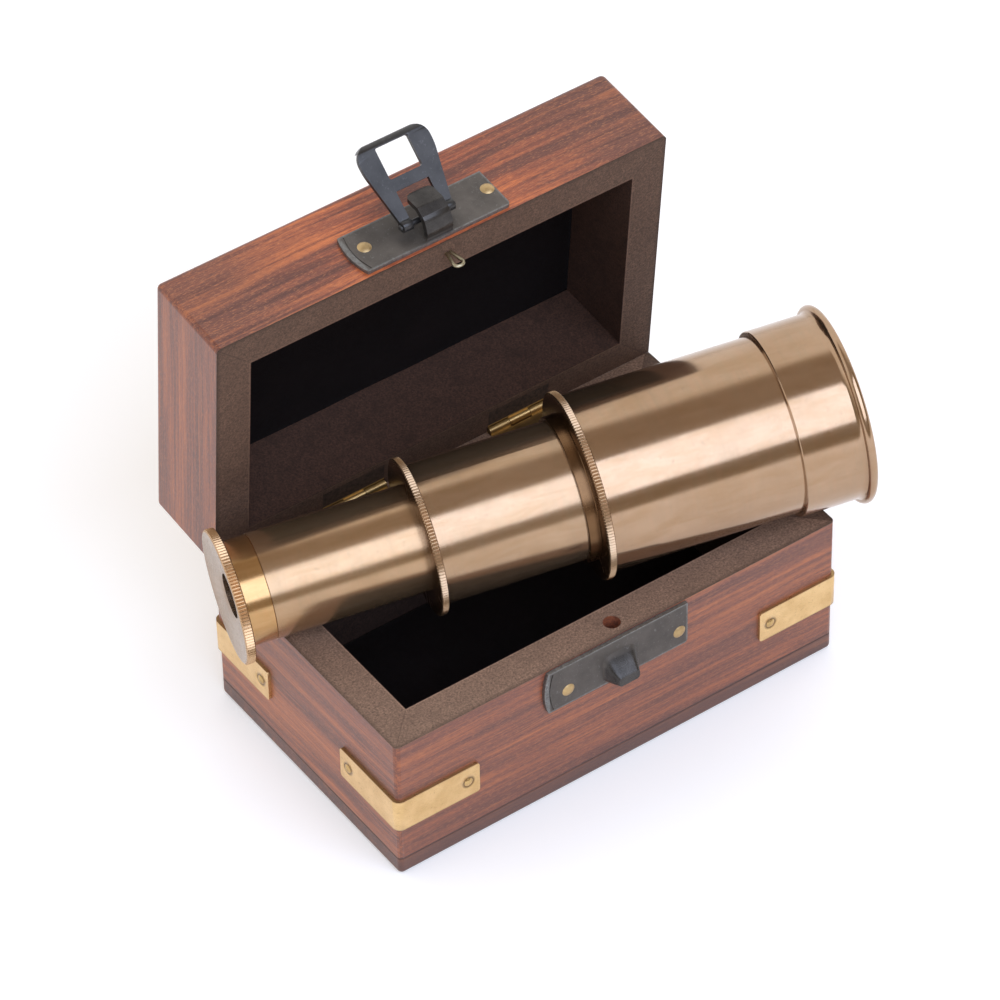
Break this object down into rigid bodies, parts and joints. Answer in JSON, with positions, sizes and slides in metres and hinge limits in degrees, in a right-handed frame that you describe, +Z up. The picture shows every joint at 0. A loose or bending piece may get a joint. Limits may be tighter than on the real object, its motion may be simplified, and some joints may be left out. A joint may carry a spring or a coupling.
{
  "type": "kaleidoscope",
  "caption": "Brass kaleidoscope with telescoping draws and a turning object chamber, resting on its open hinged wooden case with brass corner straps and a hasp.",
  "frame": {"origin": "centre of the case's underside", "axes": "+X along the case's front towards its right end, +Y towards its hinged back, +Z up"},
  "size_m": [0.1249, 0.088, 0.1054],
  "materials": {
    "stained_wood": "stained, straight grain, satin",
    "bottom_wood": "dull stain",
    "velvet": "short black pile",
    "yellow_brass": "satin",
    "blackened_steel": "blackened, satin, worn at the edges",
    "bright_wire": "dull bright wire",
    "aged_brass": "antiqued brown, satin",
    "polished_brass": "polished",
    "clear_glass": "clear",
    "frosted_glass": "frosted",
    "mirror": "silvered",
    "felt": "dense felt",
    "red_glass": "clear coloured",
    "amber_glass": "clear coloured",
    "green_glass": "clear coloured",
    "blue_glass": "clear coloured"
  },
  "bodies": {
    "case": {"base_wall_front": "stained_wood", "base_wall_back": "stained_wood", "base_wall_left": "stained_wood", "base_wall_right": "stained_wood", "base_bottom_board": "bottom_wood", "base_velvet": "velvet", "corner_strap_front_left": "yellow_brass", "corner_strap_front_right": "yellow_brass", "corner_strap_rear_left": "yellow_brass", "corner_strap_rear_right": "yellow_brass", "strap_nails": "yellow_brass", "catch_plate": "blackened_steel", "catch_rivets": "yellow_brass", "hinge_base_leaf_left": "yellow_brass", "hinge_base_leaf_right": "yellow_brass", "hinge_pin_left": "yellow_brass", "hinge_pin_right": "yellow_brass", "hinge_base_nails": "yellow_brass"},
    "lid": {"lid_wall_front": "stained_wood", "lid_wall_back": "stained_wood", "lid_wall_left": "stained_wood", "lid_wall_right": "stained_wood", "lid_panel": "stained_wood", "lid_velvet": "velvet", "latch_plate": "blackened_steel", "latch_rivets": "yellow_brass", "latch_pin": "blackened_steel", "locating_loop": "bright_wire", "hinge_lid_leaf_left": "yellow_brass", "hinge_lid_leaf_right": "yellow_brass", "hinge_lid_nails": "yellow_brass"},
    "hasp": {"hasp": "blackened_steel"},
    "barrel": {"barrel_ring": "aged_brass", "barrel_tube": "aged_brass", "chamber_snap_ring": "aged_brass"},
    "middle_draw": {"middle_ring": "aged_brass", "middle_draw_tube": "aged_brass", "middle_guide_bush": "aged_brass"},
    "small_draw": {"eyepiece_cap": "aged_brass", "eyepiece_collar": "polished_brass", "eye_glass": "clear_glass", "small_draw_tube": "aged_brass", "small_guide_bush": "aged_brass", "mirror_top": "mirror", "mirror_left": "mirror", "mirror_right": "mirror", "mirror_pads": "felt", "mirror_end_ring": "aged_brass"},
    "object_chamber": {"chamber_sleeve": "aged_brass", "chamber_inner_glass": "clear_glass", "chamber_outer_glass": "frosted_glass", "chamber_spacer_ring": "aged_brass", "chamber_retaining_ring": "aged_brass", "red_chips": "red_glass", "amber_chips": "amber_glass", "green_chips": "green_glass", "blue_chips": "blue_glass"}
  },
  "joints": [
    {"name": "scope_lift", "type": "slide", "parent": "case", "child": "barrel", "axis": [0, -0.9, 0.4359], "range_m": [0, 0.2]},
    {"name": "lid_hinge", "type": "hinge", "parent": "case", "child": "lid", "pos_m": [0, 0.0287, 0.0333], "axis": [1, 0, 0], "range_deg": [0, 84.6]},
    {"name": "hasp_hinge", "type": "hinge", "parent": "lid", "child": "hasp", "pos_m": [-0.0009, 0.02791, 0.0948], "axis": [1, 0, 0], "range_deg": [-26, 144]},
    {"name": "middle_draw_slide", "type": "slide", "parent": "barrel", "child": "middle_draw", "axis": [0.9578, -0.2765, 0.0785], "range_m": [0, 0.0274]},
    {"name": "small_draw_slide", "type": "slide", "parent": "middle_draw", "child": "small_draw", "axis": [0.9578, -0.2765, 0.0785], "range_m": [0, 0.0342]},
    {"name": "object_chamber_spin", "type": "hinge", "parent": "barrel", "child": "object_chamber", "pos_m": [0.04894, -0.01828, 0.05171], "axis": [0.9578, -0.2765, 0.0785], "continuous": true}
  ],
  "couplings": [
    {"joint": "lid_hinge", "follows": "scope_lift", "rad_per_m": 7.3827},
    {"joint": "middle_draw_slide", "follows": "scope_lift", "ratio": 0.137},
    {"joint": "small_draw_slide", "follows": "scope_lift", "ratio": 0.171}
  ]
}
